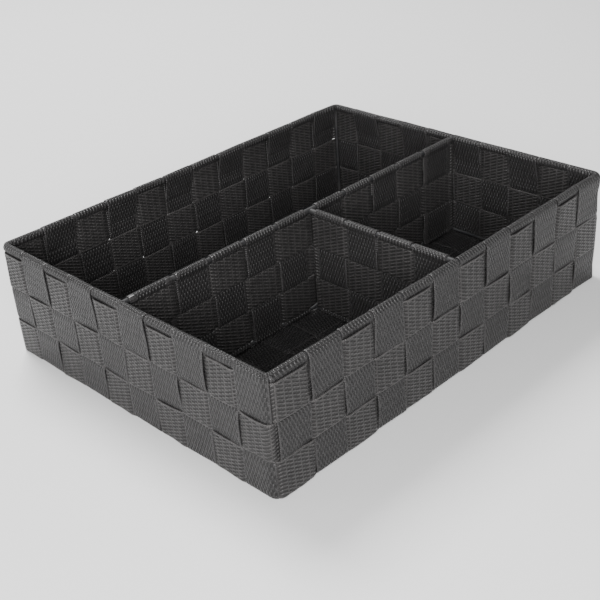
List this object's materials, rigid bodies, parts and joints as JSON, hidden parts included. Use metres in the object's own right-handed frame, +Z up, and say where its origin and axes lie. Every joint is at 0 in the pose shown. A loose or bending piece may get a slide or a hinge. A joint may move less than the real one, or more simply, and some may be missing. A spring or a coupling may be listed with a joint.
{
  "type": "storage tray",
  "caption": "Open rectangular storage tray woven from dark grey webbing straps over a wire frame, with a long divider and a cross divider in its front half",
  "frame": {"origin": "bottom centre of the tray, on the surface it stands on", "axes": "+X along the long walls, +Y from the front wall (the half with the cross divider) to the back, +Z up"},
  "size_m": [0.3202, 0.248, 0.0805],
  "materials": {
    "webbing": "matt ribbed woven polyester webbing, dark grey",
    "wire": "black painted steel wire"
  },
  "bodies": {
    "root": {"base_ring_wire": "wire", "corner_post_back_left": "wire", "corner_post_back_right": "wire", "corner_post_front_left": "wire", "corner_post_front_right": "wire", "cross_divider_base_wire": "wire", "cross_divider_front_post": "wire", "cross_divider_inner_post": "wire", "cross_divider_strap_bottom": "webbing", "cross_divider_strap_middle": "webbing", "cross_divider_strap_top": "webbing", "cross_divider_top_wire": "wire", "cross_divider_upright_01": "webbing", "cross_divider_upright_02": "webbing", "cross_divider_upright_03": "webbing", "cross_divider_upright_04": "webbing", "crosswise_strap_01": "webbing", "crosswise_strap_02": "webbing", "crosswise_strap_03": "webbing", "crosswise_strap_04": "webbing", "crosswise_strap_05": "webbing", "crosswise_strap_06": "webbing", "crosswise_strap_07": "webbing", "crosswise_strap_08": "webbing", "crosswise_strap_09": "webbing", "crosswise_strap_10": "webbing", "crosswise_strap_11": "webbing", "crosswise_strap_12": "webbing", "hoop_strap_bottom": "webbing", "hoop_strap_middle": "webbing", "hoop_strap_top": "webbing", "lengthwise_strap_01": "webbing", "lengthwise_strap_02": "webbing", "lengthwise_strap_03": "webbing", "lengthwise_strap_04": "webbing", "lengthwise_strap_05": "webbing", "lengthwise_strap_06": "webbing", "lengthwise_strap_07": "webbing", "lengthwise_strap_08": "webbing", "lengthwise_strap_09": "webbing", "lengthwise_strap_10": "webbing", "long_divider_base_wire": "wire", "long_divider_left_post": "wire", "long_divider_right_post": "wire", "long_divider_strap_bottom": "webbing", "long_divider_strap_middle": "webbing", "long_divider_strap_top": "webbing", "long_divider_top_wire": "wire", "long_divider_upright_01": "webbing", "long_divider_upright_02": "webbing", "long_divider_upright_03": "webbing", "long_divider_upright_04": "webbing", "long_divider_upright_05": "webbing", "long_divider_upright_06": "webbing", "long_divider_upright_07": "webbing", "long_divider_upright_08": "webbing", "long_divider_upright_09": "webbing", "long_divider_upright_10": "webbing", "top_rim_wire": "wire"}
  },
  "joints": []
}
